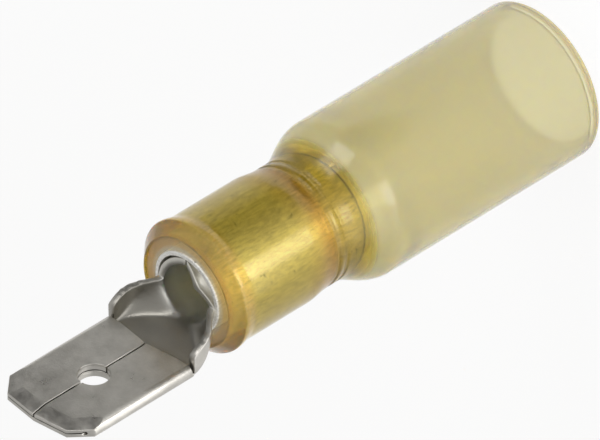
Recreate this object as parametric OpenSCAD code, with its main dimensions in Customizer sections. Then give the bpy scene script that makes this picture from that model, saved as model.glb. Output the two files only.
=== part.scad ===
// Heat shrink spade terminal.
// One folded sheet makes the tab, the open trough behind it and the rolled wire barrel.
// A ferrule holds the barrel, and a shrink sleeve with a hot melt liner covers both.
// Millimetres. The part stands on the sleeve's mouth at Z = 0 with its axis on Z and the tab up.
// The tab's seam faces -Y.

/* [Tab] */
// Thickness of the sheet that the terminal is folded from
sheet_t = 0.4; // [0.3:0.05:0.5]
// Width of the folded tab
tab_w = 6.3; // [5.6:0.1:7]
// Length of the tab along its seam
tab_len = 7.8; // [7:0.1:9]
// Diameter of the latch hole
hole_d = 1.7; // [1.2:0.1:2.2]
// Distance of the latch hole from the tip
hole_x = 4.2; // [3.4:0.1:5]
// Length of each corner cut, along the tab
corner_len = 1.1; // [0.6:0.1:1.4]
// Width of each corner cut, across the tab
corner_w = 1; // [0.6:0.1:1.4]
// How far the middle of the leading edge stands ahead of its ends
point_len = 0.25; // [0.1:0.05:0.4]
// Width of the bevel pressed along the leading edges
bevel_w = 0.8; // [0.4:0.1:1]
// Depth of the bevel at the edge
bevel_depth = 0.18; // [0.1:0.02:0.22]
// Gap between the folded layers
fold_gap = 0.05; // [0.03:0.01:0.08]
// Inner width of the loop where the sheet turns over
loop_d = 0.2; // [0.12:0.02:0.28]
// Gap between the edges that meet on the tab and on the barrel
seam_gap = 0.1; // [0.06:0.01:0.2]
// How far the rear edges of the flaps sweep back from the seam
flap_sweep = 0.25; // [0.1:0.05:0.5]
// Half width of the swept part of the flaps
flap_half_w = 2.1; // [1.6:0.1:2.4]
// Width of the cut that frees each flap from the wall behind it
notch_w = 0.12; // [0.08:0.02:0.3]

/* [Trough] */
// Length of the open trough between the tab and the barrel
trough_len = 2.48; // [1.8:0.02:4]
// How far the tab's underside lies below the barrel's
tab_drop = 0.4; // [0:0.05:0.6]
// Height of the trough's walls over the tab, at the notches
wall_rise = 0.5; // [0.1:0.05:0.8]
// Outer bend radius of the trough at the tab
bend_r = 0.55; // [0.52:0.02:0.8]

/* [Barrel and ferrule] */
// Inner diameter of the wire barrel
bore_d = 3.3; // [2.8:0.1:3.6]
// Length of the wire barrel
barrel_len = 10.75; // [10.4:0.05:12]
// Length of the barrel's front end where the wings are pressed in
wing_len = 1.5; // [0.8:0.1:2.5]
// How far the wing on the -X side is pressed in at its front edge
wing_press = 0.85; // [0.1:0.05:1]
// How far the wing on the +X side is pressed in at its front edge
far_press = 0.15; // [0.05:0.05:1]
// Wall of the ferrule
ferrule_t = 0.25; // [0.2:0.05:0.35]
// Length of the ferrule
ferrule_len = 10.05; // [8:0.05:10.2]
// Edge radius of the ferrule
ferrule_round = 0.08; // [0.04:0.02:0.1]

/* [Sleeve] */
// Length of the sleeve
sleeve_len = 24.85; // [22:0.05:30]
// Diameter over the lip at the front
lip_d = 7.5; // [7.3:0.05:8]
// Length of the lip's slanted nose, from the front to the crest
nose_len = 0.7; // [0.4:0.05:0.75]
// Slant of the nose from the axis, in degrees
nose_a = 45; // [30:1:46]
// Radius of the lip's crest
lip_round = 0.16; // [0.08:0.02:0.24]
// Length from the lip's crest down to the grip
lip_back = 0.8; // [0.4:0.1:1.5]
// Diameter of the grip over the barrel
grip_d = 7.24; // [7.1:0.02:7.3]
// Length from the sleeve's front to where the grip starts to narrow
grip_len = 5.75; // [4:0.05:6.5]
// Diameter of the neck behind the grip
neck_d = 6.92; // [6.7:0.02:7]
// Distance of the neck from the sleeve's front
neck_x = 7.65; // [7:0.05:8.5]
// Width of the fine groove pressed round the neck
groove_w = 0.5; // [0.3:0.05:0.8]
// Depth of the fine groove
groove_depth = 0.06; // [0.02:0.01:0.1]
// Length of the shoulder from the neck to the full tube
shoulder_len = 3.3; // [2.6:0.1:5]
// Outer diameter of the expanded tube
tube_d = 8.9; // [8.2:0.1:10]
// Wall of the expanded tube
tube_wall = 0.62; // [0.4:0.02:0.8]
// Edge radius at the mouth
mouth_round = 0.18; // [0.1:0.02:0.19]
// Inner diameter of the sleeve over the barrel
sleeve_bore_d = 6.04; // [5.8:0.02:6.2]

/* [Liner] */
// Set back of the liner's front face behind the sleeve's front
liner_front = 0.1; // [0.05:0.05:0.4]
// Set back of the liner's end inside the mouth
liner_back = 0.4; // [0.2:0.1:2]
// Thickness of the liner inside the expanded tube
lining_t = 0.2; // [0.1:0.02:0.3]
// Length of the wire's lead-in behind the barrel
funnel_len = 2.4; // [1.5:0.1:4]

/* [Hidden] */
$fn = 96;
// Inset of the formed sheet's edges inside the faces that they join
inset = 0.01;
// Overshoot of a cut past the face that it opens
cut = 1;
// Power of the trough wall's rise: under 1 it rises fast at the tab and then levels out
wall_power = 0.7;
// Steps along and across the formed sheet, round the barrel's front end and along a turned blend
form_rows = 16;
form_cols = 22;
ring_cols = 64;
turn_steps = 14;

tab_t = 2 * sheet_t;
bore_r = bore_d / 2;
barrel_r = bore_r + sheet_t;
ferrule_r = barrel_r + ferrule_t;
tube_r = tube_d / 2;
tube_bore_r = tube_r - tube_wall;
sleeve_bore_r = sleeve_bore_d / 2;

// Places along the axis, from the tab's tip
trough_x = tab_len + flap_sweep + notch_w;
barrel_x = trough_x + trough_len;
barrel_end = barrel_x + barrel_len;
sleeve_x = barrel_x;
neck_at = sleeve_x + neck_x;
shoulder_end = neck_at + shoulder_len;
mouth_x = sleeve_x + sleeve_len;
liner_end = mouth_x - liner_back;

// Heights from the axis
tab_floor = -barrel_r - tab_drop;
tab_mid = tab_floor + sheet_t;
tab_top = tab_floor + tab_t;

function mix(a, b, t) = a + (b - a) * t;
function ease(t) = t * t * (3 - 2 * t);

// Points on a round stretch about c, from angle a to angle b
function arc(c, r, a, b) = [
    for (k = [0:turn_steps])
        let (angle = mix(a, b, k / turn_steps)) c + r * [cos(angle), sin(angle)]
];

// Points from p to q along a soft S, level at both ends
function blend(p, q) = [
    for (k = [0:turn_steps])
        let (t = k / turn_steps) [mix(p[0], q[0], t), mix(p[1], q[1], (1 - cos(180 * t)) / 2)]
];

function backward(list) = [for (k = [len(list) - 1:-1:0]) list[k]];

// Stands the assembly up: its own X is the distance from the tip and its own Z the height from the axis
module place() {
    translate([0, 0, mouth_x]) rotate([90, 90, 0]) children();
}

// Turns a profile of [distance along the axis, radius] points about the X axis
module turned(profile) {
    rotate([0, 90, 0]) rotate_extrude() polygon([for (p = profile) [p[1], p[0]]]);
}

// Extrudes a section drawn in Y and Z along X
module along_x(length) {
    rotate([90, 0, 90]) linear_extrude(height = length) children();
}

// Section of the folded tab: the sheet with both sides turned over to meet at the seam
module tab_section() {
    fold_y = (tab_w - tab_t) / 2;
    difference() {
        union() {
            square([2 * fold_y, tab_t], center = true);
            for (side = [-1, 1]) translate([side * fold_y, 0]) circle(d = tab_t);
        }
        square([2 * fold_y, fold_gap], center = true);
        for (side = [-1, 1]) translate([side * fold_y, 0]) circle(d = loop_d);
        translate([-seam_gap / 2, 0]) square([seam_gap, tab_t]);
    }
}

// Leading edge of the tab in plan, from the right side to the left
function lead_points() = [
    [point_len + corner_len, -tab_w / 2],
    [point_len, corner_w - tab_w / 2],
    [0, 0],
    [point_len, tab_w / 2 - corner_w],
    [point_len + corner_len, tab_w / 2]
];

// Everything ahead of the line from p to q, to cut the leading edge in plan
module ahead_of(p, q) {
    run = q - p;
    translate([p[0], p[1], tab_mid]) rotate([0, 0, atan2(run[1], run[0]) - 90]) {
        translate([-tab_w, -tab_w, -tab_t]) cube([tab_w, 3 * tab_w, 2 * tab_t]);
    }
}

// Wedges that press the bevel into both faces along the line from p to q
module bevel_along(p, q) {
    run = q - p;
    slope = bevel_depth / bevel_w;
    translate([p[0], p[1], tab_mid]) rotate([0, 0, atan2(run[1], run[0]) - 90]) {
        for (face = [0, 1]) mirror([0, 0, face]) translate([0, 2 * tab_w, 0]) rotate([90, 0, 0]) {
            linear_extrude(height = 3 * tab_w) polygon([
                [-cut, sheet_t - bevel_depth - cut * slope],
                [bevel_w, sheet_t],
                [bevel_w, sheet_t + cut],
                [-cut, sheet_t + cut]
            ]);
        }
    }
}

// Room behind the flaps, where only the lower layer of the sheet goes on
module behind_flaps() {
    notch_x = trough_x - notch_w;
    side_y = tab_w / 2 + cut;
    translate([0, 0, tab_mid]) linear_extrude(height = sheet_t + cut) polygon([
        [tab_len, 0],
        [notch_x, flap_half_w],
        [notch_x, side_y],
        [trough_x + cut, side_y],
        [trough_x + cut, -side_y],
        [notch_x, -side_y],
        [notch_x, -flap_half_w]
    ]);
}

// The flat tab with its two layers, latch hole, cut corners and pressed bevels
module tab() {
    lead = lead_points();
    difference() {
        translate([0, 0, tab_mid]) along_x(trough_x) tab_section();
        for (k = [0:len(lead) - 2]) ahead_of(lead[k], lead[k + 1]);
        for (k = [0:len(lead) - 2]) bevel_along(lead[k], lead[k + 1]);
        behind_flaps();
        translate([hole_x, 0, tab_floor - cut]) cylinder(d = hole_d, h = tab_t + 2 * cut);
    }
}

// Closed sheet between an outer and an inner grid of points, rows along X
module formed_sheet(outer, inner) {
    rows = len(outer);
    cols = len(outer[0]);
    points = [for (grid = [outer, inner]) for (row = grid) for (p = row) p];
    back = rows * cols;
    last = (rows - 1) * cols;
    function at(i, j) = i * cols + j;
    polyhedron(points, concat(
        [for (i = [0:rows - 2], j = [0:cols - 2]) [at(i, j), at(i, j + 1), at(i + 1, j + 1), at(i + 1, j)]],
        [for (i = [0:rows - 2], j = [0:cols - 2])
            [back + at(i, j), back + at(i + 1, j), back + at(i + 1, j + 1), back + at(i, j + 1)]],
        [for (i = [0:rows - 2]) [at(i, 0), at(i + 1, 0), back + at(i + 1, 0), back + at(i, 0)]],
        [for (i = [0:rows - 2], j = [cols - 1]) [at(i, j), back + at(i, j), back + at(i + 1, j), at(i + 1, j)]],
        [for (j = [0:cols - 2]) [j, back + j, back + j + 1, j + 1]],
        [for (j = [0:cols - 2]) [last + j, last + j + 1, back + last + j + 1, back + last + j]]
    ));
}

// Outside of half the trough's section: station t runs from tab to barrel and s from floor to
// wall top. Gives [y, z, angle of the outward normal]. The flat floor narrows and the bends
// open up until the section is the barrel's lower half.
function trough_half(t, s) =
    let (
        half_w = mix(tab_w / 2, barrel_r, ease(t * t)),
        r = mix(bend_r, barrel_r, ease(t)),
        floor_z = mix(tab_floor, -barrel_r, ease(t)),
        top_z = mix(tab_top + wall_rise, 0, pow(t, wall_power)),
        flat = half_w - r,
        bend = r * PI / 2,
        run = s * (flat + bend + top_z - floor_z - r),
        a = -90 + (run - flat) / r * 180 / PI
    )
    run <= flat ? [run, floor_z, -90] :
    run <= flat + bend ? [flat + r * cos(a), floor_z + r + r * sin(a), a] :
    [half_w, floor_z + r + run - flat - bend, 0];

function trough_point(t, q, depth) =
    let (h = trough_half(t, abs(q)))
    [mix(trough_x, barrel_x, t), sign(q) * (h[0] - depth * cos(h[2])), h[1] - depth * sin(h[2])];

// The open trough that carries the flat tab into the round barrel
module trough() {
    function grid(depth) = [
        for (i = [0:form_rows]) [for (j = [0:2 * form_cols]) trough_point(i / form_rows, 1 - j / form_cols, depth)]
    ];
    formed_sheet(grid(inset), grid(sheet_t - inset));
}

// Wings end at the seam, at 90 and 450 degrees, and run into the round floor from 180 to 360
function ring_point(t, a, depth) =
    let (
        press = a < 180 ? wing_press : a > 360 ? far_press : 0,
        r = barrel_r - depth - press * abs(sin(2 * a)) * (1 - ease(t))
    )
    [mix(barrel_x, barrel_x + wing_len, t), r * cos(a), r * sin(a)];

// Front end of the barrel, where both wings are pressed in behind their free edges
module ring() {
    seam_a = asin(seam_gap / 2 / bore_r);
    function grid(depth) = [
        for (i = [0:form_rows]) [
            for (j = [0:ring_cols]) ring_point(i / form_rows, mix(450 - seam_a, 90 + seam_a, j / ring_cols), depth)
        ]
    ];
    formed_sheet(grid(inset), grid(sheet_t - inset));
}

// The rolled wire barrel behind its front end, with its seam on top
module barrel() {
    round_x = barrel_x + wing_len;
    round_len = barrel_len - wing_len;
    difference() {
        translate([round_x, 0, 0]) rotate([0, 90, 0]) cylinder(r = barrel_r, h = round_len);
        translate([round_x - cut, 0, 0]) rotate([0, 90, 0]) cylinder(r = bore_r, h = round_len + 2 * cut);
        translate([round_x - cut, -seam_gap / 2, 0]) cube([round_len + 2 * cut, seam_gap, barrel_r + cut]);
    }
}

module terminal() {
    color("silver") place() {
        tab();
        trough();
        ring();
        barrel();
    }
}

// Thin round sleeve pressed over the barrel, its edges broken
module ferrule() {
    back_x = barrel_x + ferrule_len - ferrule_round;
    front_x = barrel_x + ferrule_round;
    edge_r = ferrule_r - ferrule_round;
    color("lightgray") place() turned(concat(
        [[barrel_x, barrel_r]],
        arc([front_x, edge_r], ferrule_round, 180, 90),
        arc([back_x, edge_r], ferrule_round, 90, 0),
        [[barrel_x + ferrule_len, barrel_r]]
    ));
}

// Inside of the sleeve from its front to its mouth, which the liner fills
function sleeve_bore() = concat(
    [[sleeve_x, sleeve_bore_r]],
    blend([neck_at, sleeve_bore_r], [shoulder_end, tube_bore_r]),
    [[mouth_x, tube_bore_r]]
);

// Hot melt liner: thick round the metal, open behind the barrel and thin along the tube
module liner() {
    front_x = sleeve_x + liner_front;
    ferrule_end = barrel_x + ferrule_len;
    metal_end = max(barrel_end, ferrule_end);
    lining_r = tube_bore_r - lining_t;
    bore = sleeve_bore();
    color("moccasin", 0.7) place() turned(concat(
        [[front_x, sleeve_bore_r]],
        [for (k = [1:len(bore) - 2]) bore[k]],
        [[liner_end, tube_bore_r], [liner_end, lining_r]],
        blend([metal_end + funnel_len, lining_r], [metal_end, barrel_r]),
        ferrule_end < metal_end ? [[ferrule_end, barrel_r]] : [],
        [[ferrule_end, ferrule_r], [front_x, ferrule_r]]
    ));
}

// Shrink sleeve: slanted lip, grip, neck, shoulder and the expanded tube with its open mouth
module sleeve() {
    lip_r = lip_d / 2;
    grip_r = grip_d / 2;
    neck_r = neck_d / 2;
    crest_x = sleeve_x + nose_len;
    crest = arc([crest_x, lip_r - lip_round], lip_round, 90 + nose_a, 90);
    front_r = crest[0][1] - (crest[0][0] - sleeve_x) * tan(nose_a);
    groove_x = neck_at - groove_w / 2;
    rim_x = mouth_x - mouth_round;
    bore = sleeve_bore();
    color("gold", 0.6) place() turned(concat(
        [[sleeve_x, front_r]],
        crest,
        blend([crest_x + inset, lip_r], [crest_x + lip_back, grip_r]),
        blend([sleeve_x + grip_len, grip_r], [groove_x, neck_r]),
        [for (k = [1:turn_steps - 1])
            let (t = k / turn_steps) [groove_x + t * groove_w, neck_r - groove_depth * sin(180 * t)]],
        blend([groove_x + groove_w, neck_r], [shoulder_end, tube_r]),
        arc([rim_x, tube_r - mouth_round], mouth_round, 90, 0),
        arc([rim_x, tube_bore_r + mouth_round], mouth_round, 0, -90),
        backward([for (k = [0:len(bore) - 2]) bore[k]])
    ));
}

terminal();
ferrule();
liner();
sleeve();
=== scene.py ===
import math

import bmesh
import bpy
from mathutils import Matrix, Vector, noise


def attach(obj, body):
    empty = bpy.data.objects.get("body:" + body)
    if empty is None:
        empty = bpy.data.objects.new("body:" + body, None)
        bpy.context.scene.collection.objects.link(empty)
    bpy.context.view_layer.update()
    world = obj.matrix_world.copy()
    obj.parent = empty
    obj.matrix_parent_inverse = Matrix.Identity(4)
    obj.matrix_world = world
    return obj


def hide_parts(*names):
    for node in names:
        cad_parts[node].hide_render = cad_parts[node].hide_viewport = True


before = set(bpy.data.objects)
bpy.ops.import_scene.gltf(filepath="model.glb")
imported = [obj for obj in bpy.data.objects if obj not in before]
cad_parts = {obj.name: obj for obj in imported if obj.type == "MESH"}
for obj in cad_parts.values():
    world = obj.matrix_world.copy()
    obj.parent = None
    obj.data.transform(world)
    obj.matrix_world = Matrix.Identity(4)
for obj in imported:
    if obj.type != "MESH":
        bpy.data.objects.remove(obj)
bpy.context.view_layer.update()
MM = 0.001

# Sizes as in the part's source, in millimetres and degrees
# An X is a distance from the tab's tip, a Z in the standing part is a height over the sleeve's mouth

# Folded sheet
SHEET_T = 0.4
TAB_W = 6.3
TAB_FLOOR = -2.45
HOLE_X = 4.2
TROUGH_X = 8.17
WALL_RISE = 0.5
WALL_POWER = 0.7
BEND_R = 0.55
BORE_R = 1.65
SEAM_GAP = 0.1
WING_LEN = 1.5
WING_PRESS = 0.85
FAR_PRESS = 0.15
BARREL_X = 10.65
BARREL_END = 21.4
BARREL_R = BORE_R + SHEET_T

# Ferrule
FERRULE_R = 2.3
FERRULE_LEN = 10.05
FERRULE_ROUND = 0.08

# Sleeve, from its lip to its mouth
MOUTH_X = 35.5
SLEEVE_LEN = MOUTH_X - BARREL_X
LIP_R = 3.75
NOSE_LEN = 0.7
NOSE_A = 45
LIP_ROUND = 0.16
LIP_BACK = 0.8
GRIP_R = 3.62
GRIP_LEN = 5.75
NECK_R = 3.46
NECK_X = 18.3
SHOULDER_END = 21.6
TUBE_R = 4.45
TUBE_BORE_R = 3.83
SLEEVE_BORE_R = 3.02
MOUTH_ROUND = 0.18

# Liner
LINER_FRONT_X = 10.75
LINER_END = 35.1
LINING_R = 3.63
FUNNEL_LEN = 2.4

# Fine detail that only the scene has: two neck lines, rounded cut edges, uneven tops of the trough's walls
LINE_W = 0.3
LINE_DEPTH = 0.06
LINE_PLACES = (NECK_X - 0.45, NECK_X + 0.15)
EDGE_ROUND = 0.035
WALL_BURR = 0.05
# Bonded faces of liner, sleeve and metal cross by this much, so that no two clear faces lie in one place
BOND = 0.02
# The sheet's tongue inside the tab's floor, and how far it stays under the floor's faces
TONGUE_LEN = 0.42
TONGUE_STOP = 0.02
TONGUE_COVER = 0.004
# A hair's breadth, to keep two faces or two points apart
HAIR = 0.01
# Points closer than this are one point, in a turned piece and in the tab's loose triangles
SAME_POINT = 0.0005
SAME_TAB_POINT = 0.002
# Turned pieces keep their corners over this angle between faces
TURNED_CORNER_A = 32
# The sheet's cut edges are rounded over the first angle, and its bevels, between the two, stay corners
CUT_EDGE_A = 38
BEVEL_A = 8

# Settings that several nodes share
RGBA = {"data_type": "RGBA"}
FLOAT = {"data_type": "FLOAT"}
SMOOTHSTEP = {"interpolation_type": "SMOOTHSTEP"}


def linear(code):
    """sRGB hex code to linear RGBA."""
    part = [int(code[k:k + 2], 16) / 255 for k in (1, 3, 5)]
    return (*[c / 12.92 if c <= 0.04045 else ((c + 0.055) / 1.055) ** 2.4 for c in part], 1.0)


def add(tree, kind, settings={}, inputs={}):
    """Adds a node, sets its properties, and fills its inputs with values or links."""
    made = tree.nodes.new(kind)
    for name, value in settings.items():
        setattr(made, name, value)
    for name, value in inputs.items():
        if isinstance(value, bpy.types.NodeSocket):
            tree.links.new(value, made.inputs[name])
        else:
            made.inputs[name].default_value = value
    return made


def stops(ramp, colours):
    """Fills a colour ramp with (position, hex code) stops."""
    line = ramp.color_ramp.elements
    while len(line) < len(colours):
        line.new(1.0)
    for stop, (position, code) in zip(line, colours):
        stop.position, stop.color = position, linear(code)


def finish_tree(name):
    """A new material with an empty tree and its output."""
    material = bpy.data.materials.new(name)
    material.use_nodes = True
    tree = material.node_tree
    tree.nodes.clear()
    return material, tree, add(tree, "ShaderNodeOutputMaterial")


# Materials


def tin_plate():
    # Tin plate on rolled brass sheet, pressed and folded: dull silver grey with cloudy patches, fine rolling
    # lines along the tab, rounded cut edges that catch the light, painted shade darkening the inside of the
    # trough, and painted light making the barrel paler. The rolling lines and the grain are coarser than real
    # ones, so that they show.
    cloud_size, dent_size, grain_size = 0.9 * MM, 1.5 * MM, 0.14 * MM
    line_gap, line_len = 0.09 * MM, 1.6 * MM
    wings_z, barrel_z = 25.4 * MM, 24.0 * MM
    dull_from_z, dull_to_z = 16.0 * MM, 15.0 * MM
    bell_from_z, bell_to_z = 15.0 * MM, 14.0 * MM
    material, tree, out = finish_tree("tin plate on rolled brass")
    place = add(tree, "ShaderNodeTexCoord").outputs["Object"]
    height = add(tree, "ShaderNodeSeparateXYZ", {}, {"Vector": place}).outputs["Z"]
    inside = add(tree, "ShaderNodeAttribute", {"attribute_name": "inside"}).outputs["Fac"]
    cloud = add(tree, "ShaderNodeTexNoise", {}, {
        "Vector": place, "Scale": 1 / cloud_size, "Detail": 5.0, "Roughness": 0.65})
    grain = add(tree, "ShaderNodeTexNoise", {}, {
        "Vector": place, "Scale": 1 / grain_size, "Detail": 3.0, "Roughness": 0.7})
    along = add(tree, "ShaderNodeMapping", {}, {
        "Vector": place, "Scale": (1 / line_gap, 1 / line_gap, 1 / line_len)})
    rolled = add(tree, "ShaderNodeTexNoise", {}, {
        "Vector": along.outputs["Vector"], "Scale": 1.0, "Detail": 3.0})
    wavy = add(tree, "ShaderNodeTexNoise", {}, {"Vector": place, "Scale": 1 / dent_size, "Detail": 1.0})

    # Colour: cloudy outside, painted shade darker inside the trough, painted light paler on the barrel
    blotch = add(tree, "ShaderNodeMapRange", {}, {
        "Value": cloud.outputs["Fac"], "From Min": 0.3, "From Max": 0.7})
    tone = add(tree, "ShaderNodeMix", RGBA, {
        "Factor": blotch.outputs["Result"], "A": linear("#B2AFA8"), "B": linear("#C8C5BE")})
    # Painted shade: the trough's inner face is darker, where its walls shade it
    painted_trough_shade = add(tree, "ShaderNodeMix", RGBA, {
        "Factor": inside, "A": tone.outputs["Result"], "B": linear("#97948C")})
    # Painted light: the barrel, inside and out, is much paler than the tab, to brighten its shaded bore
    painted_barrel_light = add(tree, "ShaderNodeMix", RGBA, {
        "Factor": inside, "A": linear("#FBF8EC"), "B": linear("#F6F6F3")})
    deep = add(tree, "ShaderNodeMapRange", SMOOTHSTEP, {
        "Value": height, "From Min": wings_z, "From Max": barrel_z})
    plate = add(tree, "ShaderNodeMix", RGBA, {
        "Factor": deep.outputs["Result"], "A": painted_trough_shade.outputs["Result"], "B": painted_barrel_light.outputs["Result"]})

    # Gloss: patchy, and dull at the barrel's rear end
    dull = add(tree, "ShaderNodeMapRange", {}, {
        "Value": cloud.outputs["Fac"], "From Min": 0.3, "From Max": 0.7, "To Min": 0.27, "To Max": 0.4})
    rear = add(tree, "ShaderNodeMapRange", {}, {
        "Value": height, "From Min": dull_from_z, "From Max": dull_to_z, "To Max": 0.6})
    rough = add(tree, "ShaderNodeMath", {"operation": "MAXIMUM"}, {
        0: dull.outputs["Result"], 1: rear.outputs["Result"]})

    # Relief: the slight bell of the barrel's rear end, dents, rolling lines and grain
    rise = add(tree, "ShaderNodeMapRange", {}, {
        "Value": height, "From Min": bell_from_z, "From Max": bell_to_z})
    bell = add(tree, "ShaderNodeBump", {}, {
        "Height": rise.outputs["Result"], "Strength": 1.0, "Distance": 0.25 * MM})
    dents = add(tree, "ShaderNodeBump", {}, {
        "Height": wavy.outputs["Fac"], "Strength": 0.5, "Distance": 0.08 * MM,
        "Normal": bell.outputs["Normal"]})
    lines = add(tree, "ShaderNodeBump", {}, {
        "Height": rolled.outputs["Fac"], "Strength": 0.25, "Distance": 0.01 * MM,
        "Normal": dents.outputs["Normal"]})
    pits = add(tree, "ShaderNodeBump", {}, {
        "Height": grain.outputs["Fac"], "Strength": 0.5, "Distance": 0.02 * MM,
        "Normal": lines.outputs["Normal"]})
    shader = add(tree, "ShaderNodeBsdfPrincipled", {}, {
        "Base Color": plate.outputs["Result"], "Metallic": 1.0, "Roughness": rough.outputs["Value"],
        "Normal": pits.outputs["Normal"]})
    tree.links.new(shader.outputs["BSDF"], out.inputs["Surface"])
    return material


def drawn_ferrule():
    # Tin plated drawn tube: pale grey metal with fine lines along its length, a fine grain and small dark
    # specks, and a dark line at its rear end, partly its bare cut end and partly a painted shadow line, all
    # seen through the plastic. The drawn lines and the grain are coarser than real ones, so that they show.
    line_gap, line_len = 0.09 * MM, 0.6 * MM
    grain_size, dirt_size = 0.16 * MM, 0.45 * MM
    cut_and_shade_from_z, cut_and_shade_to_z = 15.0 * MM, 14.93 * MM
    bell_from_z, bell_to_z = 17.2 * MM, 14.7 * MM
    dull_from_z, dull_to_z = 17.4 * MM, 16.6 * MM
    material, tree, out = finish_tree("tin plated drawn tube")
    place = add(tree, "ShaderNodeTexCoord").outputs["Object"]
    height = add(tree, "ShaderNodeSeparateXYZ", {}, {"Vector": place}).outputs["Z"]
    along = add(tree, "ShaderNodeMapping", {}, {
        "Vector": place, "Scale": (1 / line_gap, 1 / line_gap, 1 / line_len)})
    drawn = add(tree, "ShaderNodeTexNoise", {}, {
        "Vector": along.outputs["Vector"], "Scale": 1.0, "Detail": 4.0, "Roughness": 0.65})
    grain = add(tree, "ShaderNodeTexNoise", {}, {
        "Vector": place, "Scale": 1 / grain_size, "Detail": 2.0, "Roughness": 0.6})
    dirt = add(tree, "ShaderNodeTexNoise", {}, {
        "Vector": place, "Scale": 1 / dirt_size, "Detail": 4.0, "Roughness": 0.7})

    # Colour: drawn streaks, specks, and the dark rear end, partly bare cut and partly painted shadow
    streak = add(tree, "ShaderNodeMapRange", {}, {
        "Value": drawn.outputs["Fac"], "From Min": 0.32, "From Max": 0.62})
    tone = add(tree, "ShaderNodeMix", RGBA, {
        "Factor": streak.outputs["Result"], "A": linear("#D6D4CC"), "B": linear("#FFFEFA")})
    speck = add(tree, "ShaderNodeMapRange", {}, {
        "Value": dirt.outputs["Fac"], "From Min": 0.655, "From Max": 0.7})
    spotted = add(tree, "ShaderNodeMix", RGBA, {
        "Factor": speck.outputs["Result"], "A": tone.outputs["Result"], "B": linear("#77736A")})
    # Partly painted shade: the bare cut end is darker, and a painted shadow line lies along it
    end = add(tree, "ShaderNodeMapRange", {}, {
        "Value": height, "From Min": cut_and_shade_from_z, "From Max": cut_and_shade_to_z})
    plate = add(tree, "ShaderNodeMix", RGBA, {
        "Factor": end.outputs["Result"], "A": spotted.outputs["Result"], "B": linear("#8A8470")})

    # Relief: the bell of the rear end, drawn lines and grain
    rise = add(tree, "ShaderNodeMapRange", {}, {
        "Value": height, "From Min": bell_from_z, "From Max": bell_to_z})
    bell = add(tree, "ShaderNodeBump", {}, {
        "Height": rise.outputs["Result"], "Strength": 1.0, "Distance": 0.9 * MM})
    lines = add(tree, "ShaderNodeBump", {}, {
        "Height": drawn.outputs["Fac"], "Strength": 0.7, "Distance": 0.018 * MM,
        "Normal": bell.outputs["Normal"]})
    pits = add(tree, "ShaderNodeBump", {}, {
        "Height": grain.outputs["Fac"], "Strength": 0.8, "Distance": 0.03 * MM,
        "Normal": lines.outputs["Normal"]})
    dull = add(tree, "ShaderNodeMapRange", SMOOTHSTEP, {
        "Value": height, "From Min": dull_from_z, "From Max": dull_to_z, "To Min": 0.52, "To Max": 0.62})
    shader = add(tree, "ShaderNodeBsdfPrincipled", {}, {
        "Base Color": plate.outputs["Result"], "Metallic": 1.0, "Roughness": dull.outputs["Result"],
        "Normal": pits.outputs["Normal"]})
    tree.links.new(shader.outputs["BSDF"], out.inputs["Surface"])
    return material


def along_sleeve(tree):
    """A point's place, and its share of the sleeve's length: 0 at the mouth, 1 at the lip's front."""
    place = add(tree, "ShaderNodeTexCoord").outputs["Object"]
    height = add(tree, "ShaderNodeSeparateXYZ", {}, {"Vector": place}).outputs["Z"]
    share = add(tree, "ShaderNodeMapRange", {}, {"Value": height, "From Max": SLEEVE_LEN * MM})
    return place, share.outputs["Result"]


def hot_melt():
    # Hot melt adhesive: clear round the metal, slightly cloudy along the open tube, and a cloudy tan skin at
    # its open front, paler next to the ferrule.
    clear_tint, skin_tint = "#F7F3E6", "#F2D49C"
    skin_from_r, skin_to_r = 2.42 * MM, 2.62 * MM
    material, tree, out = finish_tree("hot melt adhesive")
    place, share = along_sleeve(tree)
    tint = add(tree, "ShaderNodeValToRGB", {}, {"Fac": share})
    stops(tint, [(0.0, clear_tint), (0.983, clear_tint), (0.99, skin_tint), (1.0, skin_tint)])
    clear = add(tree, "ShaderNodeValToRGB", {}, {"Fac": share})
    stops(clear, [
        (0.0, "#F2F2F2"), (0.563, "#EFEFEF"),  # open tube
        (0.569, "#FFFFFF"), (0.983, "#FFFFFF"),  # round the metal
        (0.99, "#DCDCDC"), (1.0, "#DCDCDC"),  # open front
    ])
    across = add(tree, "ShaderNodeVectorMath", {"operation": "MULTIPLY"}, {0: place, 1: (1, 1, 0)})
    radius = add(tree, "ShaderNodeVectorMath", {"operation": "LENGTH"}, {0: across.outputs["Vector"]})
    inner = add(tree, "ShaderNodeMapRange", {}, {
        "Value": radius.outputs["Value"], "From Min": skin_to_r, "From Max": skin_from_r})
    pale = add(tree, "ShaderNodeMix", RGBA, {
        "Factor": inner.outputs["Result"], "A": tint.outputs["Color"], "B": linear(clear_tint)})
    shader = add(tree, "ShaderNodeBsdfPrincipled", {}, {
        "Base Color": pale.outputs["Result"], "Roughness": 0.12, "IOR": 1.48,
        "Transmission Weight": clear.outputs["Color"]})
    tree.links.new(shader.outputs["BSDF"], out.inputs["Surface"])
    return material


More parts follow.
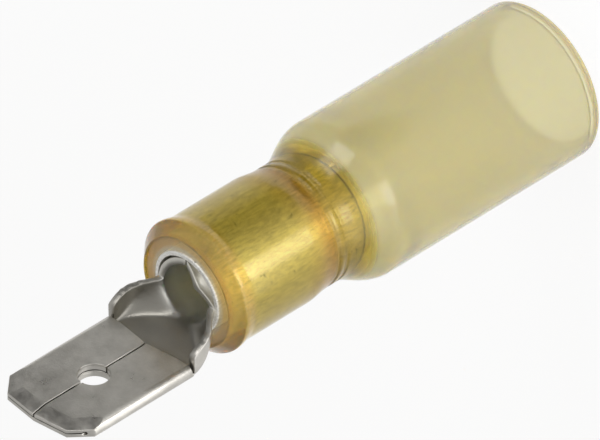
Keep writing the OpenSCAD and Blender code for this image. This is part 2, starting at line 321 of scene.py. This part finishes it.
def shrink_sleeve():
    # Yellow heat shrink polyolefin: clear where it is shrunk on the metal, milky and paler where the tube is
    # still expanded, frosted at the mouth's cut rim, and deeper in colour at the neck and the lip, where light
    # runs a long way inside the wall.
    rim_end, tube_start, tube_end, neck_start = 0.007, 0.012, 0.612, 0.624
    material, tree, out = finish_tree("yellow heat shrink polyolefin")
    share = along_sleeve(tree)[1]
    tint = add(tree, "ShaderNodeValToRGB", {}, {"Fac": share})
    stops(tint, [
        (0.0, "#F6DFA8"), (rim_end, "#F6DFA8"),  # cut rim
        (tube_start, "#FFFBE8"), (0.2, "#FFFAE2"), (0.4, "#FFF9DA"), (tube_end, "#FFF8D6"),  # open tube
        (neck_start, "#FFEE90"), (0.69, "#FFEE90"), (0.715, "#FDD982"),  # neck
        (0.75, "#FFF7C3"), (0.93, "#FFF7C3"),  # grip
        (0.96, "#FFE5A0"), (1.0, "#FFE5A0"),  # lip
    ])
    clear = add(tree, "ShaderNodeValToRGB", {}, {"Fac": share})
    stops(clear, [
        (0.0, "#A8A8A8"), (rim_end, "#A8A8A8"),  # cut rim
        (tube_start, "#EEEEEE"), (tube_end, "#EBEBEB"),  # open tube
        (neck_start, "#FDFDFD"), (0.64, "#FFFFFF"), (0.95, "#FFFFFF"),  # neck and grip
        (0.965, "#F6F6F6"), (1.0, "#F6F6F6"),  # lip
    ])
    gloss = add(tree, "ShaderNodeValToRGB", {}, {"Fac": share})
    stops(gloss, [
        (0.0, "#595959"), (0.56, "#595959"),  # open tube
        (0.6, "#6A6A6A"), (0.615, "#707070"), (0.9, "#707070"),  # shoulder, neck and grip
        (0.95, "#464646"), (1.0, "#464646"),  # lip
    ])
    shader = add(tree, "ShaderNodeBsdfPrincipled", {}, {
        "Base Color": tint.outputs["Color"], "Roughness": gloss.outputs["Color"], "IOR": 1.5,
        "Transmission Weight": clear.outputs["Color"], "Subsurface Weight": 1.0,
        "Subsurface Radius": (1.0, 0.8, 0.4), "Subsurface Scale": 0.8 * MM})
    depth = add(tree, "ShaderNodeVolumeAbsorption", {}, {"Color": linear("#FEF44F"), "Density": 650.0})
    tree.links.new(shader.outputs["BSDF"], out.inputs["Surface"])
    tree.links.new(depth.outputs["Volume"], out.inputs["Volume"])
    return material


def white_paper():
    # Matt white paper: white to the eye and in the metal, dimmed to a painted light grey shade through the
    # plastic, with a soft shadow.
    white_seen, white_through, painted_shade_level_through = 0.85, 0.95, 0.79
    material, tree, out = finish_tree("matt white paper")
    ray = add(tree, "ShaderNodeLightPath").outputs
    seen = add(tree, "ShaderNodeMath", {"operation": "MAXIMUM"}, {
        0: ray["Is Camera Ray"], 1: ray["Is Glossy Ray"]})
    plain = add(tree, "ShaderNodeMath", {"operation": "MULTIPLY"}, {
        0: seen.outputs["Value"], 1: white_seen})
    share = add(tree, "ShaderNodeMix", FLOAT, {
        "Factor": ray["Is Transmission Ray"], "A": plain.outputs["Value"], "B": white_through})
    # Painted shade: through the plastic the paper gives less light, standing in for the shade behind the part
    level = add(tree, "ShaderNodeMix", FLOAT, {
        "Factor": ray["Is Transmission Ray"], "A": 1.0, "B": painted_shade_level_through})
    paper = add(tree, "ShaderNodeBsdfDiffuse", {}, {"Color": linear("#F2F2F0")})
    white = add(tree, "ShaderNodeEmission", {}, {
        "Color": linear("#FFFFFF"), "Strength": level.outputs["Result"]})
    both = add(tree, "ShaderNodeMixShader", {}, {
        "Fac": share.outputs["Result"], 1: paper.outputs["BSDF"], 2: white.outputs["Emission"]})
    tree.links.new(both.outputs["Shader"], out.inputs["Surface"])
    return material


def reflected_shade_paper(left, right, upper_from, upper_to):
    # Matt grey card, pale at its ends, dark in the middle and along its top: painted shade for the metal
    # to mirror.
    material, tree, out = finish_tree("matt grey card")
    place = add(tree, "ShaderNodeTexCoord").outputs["Object"]
    spot = add(tree, "ShaderNodeSeparateXYZ", {}, {"Vector": place}).outputs
    fade = add(tree, "ShaderNodeMapRange", {}, {"Value": spot["X"], "From Min": left, "From Max": right})
    shade = add(tree, "ShaderNodeValToRGB", {}, {"Fac": fade.outputs["Result"]})
    stops(shade, [
        (0.0, "#FFFFFF"), (0.2, "#B0B0B0"), (0.33, "#505050"),
        (0.42, "#585858"), (0.5, "#CFCFCF"), (1.0, "#CFCFCF"),
    ])
    upper = add(tree, "ShaderNodeMapRange", SMOOTHSTEP, {
        "Value": spot["Z"], "From Min": upper_from, "From Max": upper_to})
    tone = add(tree, "ShaderNodeMix", RGBA, {
        "Factor": upper.outputs["Result"], "A": shade.outputs["Color"], "B": linear("#545454")})
    paper = add(tree, "ShaderNodeBsdfDiffuse", {}, {"Color": tone.outputs["Result"]})
    tree.links.new(paper.outputs["BSDF"], out.inputs["Surface"])
    return material


# Turned pieces


def arc(centre, radius, start, end, steps=12):
    """Points on a round stretch about centre, from angle start to angle end in degrees."""
    turn = [math.radians(start + (end - start) * k / steps) for k in range(steps + 1)]
    return [(centre[0] + radius * math.cos(a), centre[1] + radius * math.sin(a)) for a in turn]


def soft(p, q, steps=24):
    """Points from p to q along a soft S, level at both ends."""
    share = [k / steps for k in range(steps + 1)]
    rise = [(1 - math.cos(math.pi * t)) / 2 for t in share]
    return [(p[0] + (q[0] - p[0]) * t, p[1] + (q[1] - p[1]) * s) for t, s in zip(share, rise)]


def run(p, q, steps=24):
    """Points along the straight from p to q, without its ends."""
    return [(p[0] + (q[0] - p[0]) * k / steps, p[1] + (q[1] - p[1]) * k / steps) for k in range(1, steps)]


def neck_line(x, steps=12):
    """One fine round bottomed line pressed into the neck, starting at x."""
    share = [k / steps for k in range(steps + 1)]
    return [(x + LINE_W * t, NECK_R - LINE_DEPTH * math.sin(math.pi * t)) for t in share]


def sleeve_bore():
    """The sleeve's bore from the lip's front to the end of the shoulder."""
    return [(BARREL_X, SLEEVE_BORE_R)] + soft((NECK_X, SLEEVE_BORE_R), (SHOULDER_END, TUBE_BORE_R))


def sleeve_profile():
    """Round the sleeve's wall: lip, grip, neck with two lines, shoulder, tube, mouth, back along the bore."""
    crest_x = BARREL_X + NOSE_LEN
    crest_end = crest_x + HAIR
    crest = arc((crest_x, LIP_R - LIP_ROUND), LIP_ROUND, 90 + NOSE_A, 90)
    front_r = crest[0][1] - (crest[0][0] - BARREL_X) * math.tan(math.radians(NOSE_A))
    front_line, back_line = [neck_line(x) for x in LINE_PLACES]
    shoulder, bore_shoulder = (SHOULDER_END, TUBE_R), (SHOULDER_END, TUBE_BORE_R)
    rim_x = MOUTH_X - MOUTH_ROUND
    rim = arc((rim_x, TUBE_R - MOUTH_ROUND), MOUTH_ROUND, 90, 0)
    inner_rim = arc((rim_x, TUBE_BORE_R + MOUTH_ROUND), MOUTH_ROUND, 0, -90)
    return (
        [(BARREL_X, front_r)] + crest
        + soft((crest_end, LIP_R), (crest_x + LIP_BACK, GRIP_R))
        + soft((BARREL_X + GRIP_LEN, GRIP_R), front_line[0])[:-1] + front_line + back_line
        + soft(back_line[-1], shoulder)[1:] + run(shoulder, rim[0]) + rim
        + inner_rim + run(inner_rim[-1], bore_shoulder) + sleeve_bore()[::-1]
    )


def liner_profile():
    """Round the liner: along the sleeve's bore, back through the open tube, over barrel's end and ferrule."""
    outer = [(x, r + BOND) for x, r in sleeve_bore()[1:]]
    outer_end = (LINER_END, TUBE_BORE_R + BOND)
    ferrule_end = BARREL_X + FERRULE_LEN - BOND
    barrel_r, ferrule_r = BARREL_R - BOND, FERRULE_R - BOND
    return (
        [(LINER_FRONT_X, SLEEVE_BORE_R + BOND)] + outer + run(outer[-1], outer_end)
        + [outer_end, (LINER_END, LINING_R)]
        + soft((BARREL_END + FUNNEL_LEN, LINING_R), (BARREL_END - BOND, barrel_r))
        + [(ferrule_end, barrel_r), (ferrule_end, ferrule_r), (LINER_FRONT_X, ferrule_r)]
    )


def ferrule_profile():
    """Round the ferrule's wall, its outer edges rounded."""
    back_x = BARREL_X + FERRULE_LEN
    edge_r = FERRULE_R - FERRULE_ROUND
    return (
        [(BARREL_X, BARREL_R)] + arc((BARREL_X + FERRULE_ROUND, edge_r), FERRULE_ROUND, 180, 90, 6)
        + arc((back_x - FERRULE_ROUND, edge_r), FERRULE_ROUND, 90, 0, 6) + [(back_x, BARREL_R)]
    )


def turning_tree():
    """Sweeps a closed profile round a circle and gives the piece its finish."""
    tree = bpy.data.node_groups.new("turned piece", "GeometryNodeTree")
    inputs = {"Profile": "Geometry", "Segments": "Int", "Path radius": "Float", "Finish": "Material"}
    for name, kind in inputs.items():
        tree.interface.new_socket(name, in_out="INPUT", socket_type="NodeSocket" + kind)
    tree.interface.new_socket("Piece", in_out="OUTPUT", socket_type="NodeSocketGeometry")
    given = add(tree, "NodeGroupInput").outputs
    profile = add(tree, "GeometryNodeMeshToCurve", {}, {"Mesh": given["Profile"]})
    path = add(tree, "GeometryNodeCurvePrimitiveCircle", {}, {
        "Resolution": given["Segments"], "Radius": given["Path radius"]})
    swept = add(tree, "GeometryNodeCurveToMesh", {}, {
        "Curve": path.outputs["Curve"], "Profile Curve": profile.outputs["Curve"]})
    whole = add(tree, "GeometryNodeRealizeInstances", {}, {"Geometry": swept.outputs["Mesh"]})
    dressed = add(tree, "GeometryNodeSetMaterial", {}, {
        "Geometry": whole.outputs["Geometry"], "Material": given["Finish"]})
    add(tree, "NodeGroupOutput", {}, {"Piece": dressed.outputs["Geometry"]})
    return tree


def turned(name, profile, finish, tree, segments=256):
    """A round piece from a closed profile of (distance from the tip, radius) points, as a plain mesh."""
    # The profile is swept along a circle of this radius, so its points are set off from it
    path_r = 1.0
    line = bpy.data.meshes.new(name + " profile")
    points = [((r - path_r) * MM, (x - MOUTH_X) * MM, 0) for x, r in profile]
    line.from_pydata(points, [(k, (k + 1) % len(points)) for k in range(len(points))], [])
    piece = bpy.data.objects.new(name, line)
    bpy.context.scene.collection.objects.link(piece)
    sweep = piece.modifiers.new("turned", "NODES")
    sweep.node_group = tree
    key = {item.name: item.identifier for item in tree.interface.items_tree}
    sweep[key["Segments"]] = segments
    sweep[key["Path radius"]] = path_r * MM
    sweep[key["Finish"]] = finish
    plain_mesh(piece)
    outward(piece.data)
    return piece


def plain_mesh(piece):
    """Turns what a piece's modifiers make into its own mesh."""
    shape = bpy.data.meshes.new_from_object(piece.evaluated_get(bpy.context.evaluated_depsgraph_get()))
    piece.modifiers.clear()
    piece.data = shape


def outward(shape):
    """Points the faces outwards and smooths all but the real corners."""
    work = bmesh.new()
    work.from_mesh(shape)
    bmesh.ops.remove_doubles(work, verts=work.verts, dist=SAME_POINT * MM)
    if work.calc_volume(signed=True) < 0:
        bmesh.ops.reverse_faces(work, faces=work.faces)
    work.to_mesh(shape)
    work.free()
    shape.shade_smooth()
    shape.set_sharp_from_angle(angle=math.radians(TURNED_CORNER_A))


# Formed sheet


def standing(v):
    """From axes along the tab (x to the mouth, y across, z off the tab) to the standing part's."""
    return Vector((v[1], -v[2], -v[0]))


def between(a, b, t):
    """The value at share t of the way from a to b."""
    return a + (b - a) * t


def ease(t):
    """A share that starts and ends gently."""
    return t * t * (3 - 2 * t)


def wall_burr(t, q):
    """How far a trough wall's top is off its line, fading out at both ends."""
    waves, sides_apart = 7, 3
    fineness, growth, layers = 0.6, 2.3, 3
    place = (waves * t, math.copysign(sides_apart, q), 0.5)
    return WALL_BURR * math.sin(math.pi * t) * noise.fractal(place, fineness, growth, layers)


def trough_point(t, q, depth):
    """The open trough: t runs from tab to barrel, q from one wall's top to the other's, depth into it."""
    half_w = between(TAB_W / 2, BARREL_R, ease(t * t))
    bend_r = between(BEND_R, BARREL_R, ease(t))
    floor_z = between(TAB_FLOOR, -BARREL_R, ease(t))
    top_z = between(TAB_FLOOR + 2 * SHEET_T + WALL_RISE, 0, t ** WALL_POWER) + wall_burr(t, q)
    flat = half_w - bend_r
    bend = bend_r * math.pi / 2
    length = abs(q) * (flat + bend + top_z - floor_z - bend_r)
    if length <= flat:
        y, z, a = length, floor_z, -math.pi / 2
    elif length <= flat + bend:
        a = (length - flat) / bend_r - math.pi / 2
        y, z = flat + bend_r * math.cos(a), floor_z + bend_r + bend_r * math.sin(a)
    else:
        y, z, a = half_w, floor_z + bend_r + length - flat - bend, 0.0
    x = between(TROUGH_X, BARREL_X, t)
    return x, math.copysign(y - depth * math.cos(a), q), z - depth * math.sin(a)


def ring_point(x, angle, depth):
    """The rolled barrel, its wings pressed in behind their free front edges."""
    press = WING_PRESS if angle < 180 else FAR_PRESS if angle > 360 else 0
    t = min((x - BARREL_X) / WING_LEN, 1)
    a = math.radians(angle)
    r = BARREL_R - depth - press * abs(math.sin(2 * a)) * (1 - ease(t))
    return x, r * math.cos(a), r * math.sin(a)


def sheet_point(row, angle, depth):
    """A point of the sheet in one of its rows, or None where the sheet has no wall there."""
    kind, value = row
    q = (angle - 270) / 90
    if kind == "ring":
        return ring_point(value, angle, depth)
    if kind == "trough":
        return trough_point(value, q, depth) if abs(q) <= 1 else None
    tongue_w = 0.6
    covered = min(max(depth, TONGUE_COVER), SHEET_T - TONGUE_COVER)
    return (value, *trough_point(0, q, covered)[1:]) if abs(q) < tongue_w else None


def sheet_rows():
    """The sheet's rows from front to back: the tongue, the trough, the pressed wings and the barrel."""
    trough, wing, barrel = 28, 20, 10
    rows = [("tongue", TROUGH_X - TONGUE_LEN), ("tongue", TROUGH_X - TONGUE_STOP)]
    rows += [("trough", k / trough) for k in range(trough)]
    rows += [("ring", BARREL_X + WING_LEN * k / wing) for k in range(wing + 1)]
    rows += [("ring", between(BARREL_X + WING_LEN, BARREL_END, k / barrel)) for k in range(1, barrel + 1)]
    return rows


def sheet_angles():
    """The sheet's angles round the axis: from one side of the seam, under the barrel, to the other side."""
    wing, floor = 24, 48
    seam = math.degrees(math.asin(SEAM_GAP / 2 / BORE_R))
    angles = [between(450 - seam, 360, k / wing) for k in range(wing)]
    angles += [between(360, 180, k / floor) for k in range(floor)]
    angles += [between(180, 90 + seam, k / wing) for k in range(wing + 1)]
    return angles


def rolled_sheet(work):
    """Adds trough and barrel as one sheet of even thickness. Its front tongue lies inside the tab's floor."""
    rows, angles = sheet_rows(), sheet_angles()
    grid = {}
    inside = work.verts.layers.float.new("inside")
    for skin, depth in enumerate((0.0, SHEET_T)):
        for i, row in enumerate(rows):
            for j, angle in enumerate(angles):
                point = sheet_point(row, angle, depth)
                if point:
                    spot = work.verts.new((standing(point) + Vector((0, 0, MOUTH_X))) * MM)
                    spot[inside] = skin
                    grid[skin, i, j] = spot
    rim = {}
    for i in range(len(rows) - 1):
        for j in range(len(angles) - 1):
            cell = [(i, j), (i, j + 1), (i + 1, j + 1), (i + 1, j)]
            if all((0, *c) in grid for c in cell):
                work.faces.new([grid[0, *c] for c in cell])
                work.faces.new([grid[1, *c] for c in reversed(cell)])
                for a, b in zip(cell, cell[1:] + cell[:1]):
                    rim[a, b] = (b, a)
    for (a, b), back in rim.items():
        if back not in rim:
            work.faces.new([grid[0, *b], grid[0, *a], grid[1, *a], grid[1, *b]])


def slice_across(work, x, clear_back=False):
    """Cuts the tab square to its length at x, and can clear what lies on the barrel's side of the cut."""
    return bmesh.ops.bisect_plane(
        work, geom=work.verts[:] + work.edges[:] + work.faces[:],
        plane_co=(0, 0, (MOUTH_X - x) * MM), plane_no=(0, 0, 1), clear_inner=clear_back)


def flat_tab(work):
    """Adds the folded tab from its solid, cut off and closed where the trough starts."""
    cut_x = TROUGH_X - HAIR
    flat_a = math.radians(0.3)
    work.from_mesh(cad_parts["terminal"].data)
    bmesh.ops.remove_doubles(work, verts=work.verts, dist=SAME_TAB_POINT * MM)
    cut = slice_across(work, cut_x, clear_back=True)
    bmesh.ops.contextual_create(work, geom=[g for g in cut["geom_cut"] if isinstance(g, bmesh.types.BMEdge)])
    bmesh.ops.dissolve_limit(work, angle_limit=flat_a, verts=work.verts, edges=work.edges)
    slice_across(work, HOLE_X)
    for edge in work.edges:
        edge.smooth = not math.radians(BEVEL_A) < edge.calc_face_angle(0) < math.radians(CUT_EDGE_A)


def formed_terminal(finish):
    """The terminal: folded tab and rolled sheet, with their cut edges rounded."""
    work = bmesh.new()
    flat_tab(work)
    rolled_sheet(work)
    bmesh.ops.recalc_face_normals(work, faces=work.faces)
    shape = bpy.data.meshes.new("folded_terminal")
    work.to_mesh(shape)
    work.free()
    shape.shade_smooth()
    shape.materials.append(finish)
    piece = bpy.data.objects.new("folded_terminal", shape)
    bpy.context.scene.collection.objects.link(piece)
    edges = piece.modifiers.new("rounded edges", "BEVEL")
    edges.width, edges.segments, edges.limit_method = EDGE_ROUND * MM, 2, "ANGLE"
    edges.angle_limit, edges.use_clamp_overlap = math.radians(CUT_EDGE_A), False
    even = piece.modifiers.new("flat faces", "WEIGHTED_NORMAL")
    even.weight, even.keep_sharp = 80, True
    plain_mesh(piece)
    return piece


tin, drawn, melt, shrink = tin_plate(), drawn_ferrule(), hot_melt(), shrink_sleeve()
turning = turning_tree()
pieces = {
    "terminal": (formed_terminal(tin), "tinned_sheet"),
    "ferrule": (turned("round_ferrule", ferrule_profile(), drawn, turning), "ferrule_metal"),
    "liner": (turned("melt_liner", liner_profile(), melt, turning), "hot_melt"),
    "sleeve": (turned("yellow_sleeve", sleeve_profile(), shrink, turning), "shrink_sleeve"),
}
for node, (piece, slot) in pieces.items():
    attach(piece, "root")
    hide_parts(node)


# Studio


def flat_sheet(name, corners, faces, finish):
    """A flat piece of the studio from corners in millimetres."""
    shape = bpy.data.meshes.new(name)
    shape.from_pydata([Vector(c) * MM for c in corners], [], faces)
    shape.materials.append(finish)
    sheet = bpy.data.objects.new(name, shape)
    bpy.context.scene.collection.objects.link(sheet)
    return sheet


# Floor, just under the mouth so that the rim doesn't lie in its plane
FLOOR_HALF = 1500
FLOOR_Z = -HAIR
floor_sides = ((-1, -1), (1, -1), (1, 1), (-1, 1))
floor_corners = [(x * FLOOR_HALF, y * FLOOR_HALF, FLOOR_Z) for x, y in floor_sides]
floor = flat_sheet("floor", floor_corners, [(0, 1, 2, 3)], white_paper())


def soft_box(name, place, target, size, radiance):
    """A flat soft lamp at place, turned to target. Its power follows from its size and how bright it looks."""
    lamp = bpy.data.lights.new(name, "AREA")
    lamp.shape = "RECTANGLE"
    lamp.size, lamp.size_y = size[0] * MM, size[1] * MM
    lamp.energy = radiance * math.pi * lamp.size * lamp.size_y
    holder = bpy.data.objects.new(name, lamp)
    holder.location = Vector(place) * MM
    holder.rotation_euler = (Vector(target) - Vector(place)).to_track_quat("-Z", "Y").to_euler()
    holder.visible_camera = False
    bpy.context.scene.collection.objects.link(holder)
    return holder


# Lamps by place, target and size in millimetres, and how bright they look. The fill lamp isn't mirrored.
MIDDLE = (0, 0, 18)
soft_box("near lamp", (-26, -12, 9), MIDDLE, (8, 12), 0.8)
soft_box("near lamp's glow", (-26.5, -12, 9), MIDDLE, (15, 18), 1.75)
soft_box("side lamp", (-28, -4, 22), MIDDLE, (30, 40), 0.7)
soft_box("wide side lamp", (-32, -4, 24), MIDDLE, (60, 48), 0.5)
soft_box("fill lamp", (60, -70, 30), (0, 0, 12), (100, 60), 1.8).visible_glossy = False
soft_box("front lamp", (40, -240, 105), MIDDLE, (140, 140), 3.2)

# Grey card beside the part, out of the picture: painted shade, unseen by the camera, lighting nothing and
# casting no shadow, that the metal mirrors on the side turned from the lamp
# It is a low strip, a tall end and a piece over the strip, with a slot left between
CARD_Y = -20
CARD_LEFT, CARD_UPPER_LEFT, CARD_BEND, CARD_RIGHT = -20, -2, 12, 48
CARD_BOTTOM, CARD_SLOT_BOTTOM, CARD_SLOT_TOP, CARD_TOP = 0.5, 15, 22, 34
CARD_DARK_FROM, CARD_DARK_TO = 18, 24
card_corners = [(x, CARD_Y, z) for x, z in (
    (CARD_LEFT, CARD_BOTTOM), (CARD_BEND, CARD_BOTTOM),
    (CARD_BEND, CARD_SLOT_BOTTOM), (CARD_LEFT, CARD_SLOT_BOTTOM),
    (CARD_RIGHT, CARD_BOTTOM), (CARD_RIGHT, CARD_TOP),
    (CARD_BEND, CARD_TOP), (CARD_BEND, CARD_SLOT_TOP),
    (CARD_UPPER_LEFT, CARD_SLOT_TOP), (CARD_UPPER_LEFT, CARD_TOP))]
card_faces = [(0, 1, 2, 3), (1, 4, 5, 6, 7, 2), (7, 6, 9, 8)]
card_finish = reflected_shade_paper(CARD_LEFT * MM, CARD_RIGHT * MM, CARD_DARK_FROM * MM, CARD_DARK_TO * MM)
reflected_shade_card = flat_sheet("reflected_shade_card", card_corners, card_faces, card_finish)
reflected_shade_card.visible_camera = reflected_shade_card.visible_diffuse = reflected_shade_card.visible_shadow = False

# Pale surroundings: plain light on the part, white to the camera
SKY_LIGHT, SKY_SEEN = 0.7, 1.1
world = bpy.data.worlds.new("studio")
world.use_nodes = True
sky = world.node_tree.nodes["Background"]
sky.inputs["Color"].default_value = linear("#F4F4F4")
direct = add(world.node_tree, "ShaderNodeLightPath").outputs["Is Camera Ray"]
bright = add(world.node_tree, "ShaderNodeMix", FLOAT, {"Factor": direct, "A": SKY_LIGHT, "B": SKY_SEEN})
world.node_tree.links.new(bright.outputs["Result"], sky.inputs["Strength"])
bpy.context.scene.world = world
# Light crosses many clear walls on its way through the sleeve and liner to the metal and back
bpy.context.scene.cycles.max_bounces = 48
bpy.context.scene.cycles.transmission_bounces = 48
bpy.context.scene.cycles.glossy_bounces = 12

# Camera at the photograph's angle: the part's own axes as they lie in the picture, from the tab's tip
PICTURE_W, PICTURE_H = 600, 440
PX_MM = 20.04
TIP_PX = (32.2, 385.4)
AZ, EL, ROLL = math.radians(-43.3), math.radians(37.8), math.radians(1.15)
DISTANCE = 900
SENSOR_W = 36

level_right = standing((math.cos(AZ), math.sin(AZ), 0))
level_above = standing((-math.sin(AZ) * math.sin(EL), math.cos(AZ) * math.sin(EL), math.cos(EL)))
back = standing((math.sin(AZ) * math.cos(EL), -math.cos(AZ) * math.cos(EL), math.sin(EL)))
right = level_right * math.cos(ROLL) - level_above * math.sin(ROLL)
above = level_right * math.sin(ROLL) + level_above * math.cos(ROLL)
to_right, to_top = (PICTURE_W / 2 - TIP_PX[0]) / PX_MM, (TIP_PX[1] - PICTURE_H / 2) / PX_MM
centre = Vector((0, 0, MOUTH_X)) + right * to_right + above * to_top
lens = bpy.data.cameras.new("camera")
lens.sensor_width = SENSOR_W
lens.lens = SENSOR_W * DISTANCE / (PICTURE_W / PX_MM)
camera = bpy.data.objects.new("camera", lens)
turn = Matrix((right, above, back)).transposed().to_4x4()
camera.matrix_world = Matrix.Translation((centre + back * DISTANCE) * MM) @ turn
bpy.context.scene.collection.objects.link(camera)
bpy.context.scene.camera = camera
bpy.context.scene.view_settings.view_transform = "Standard"
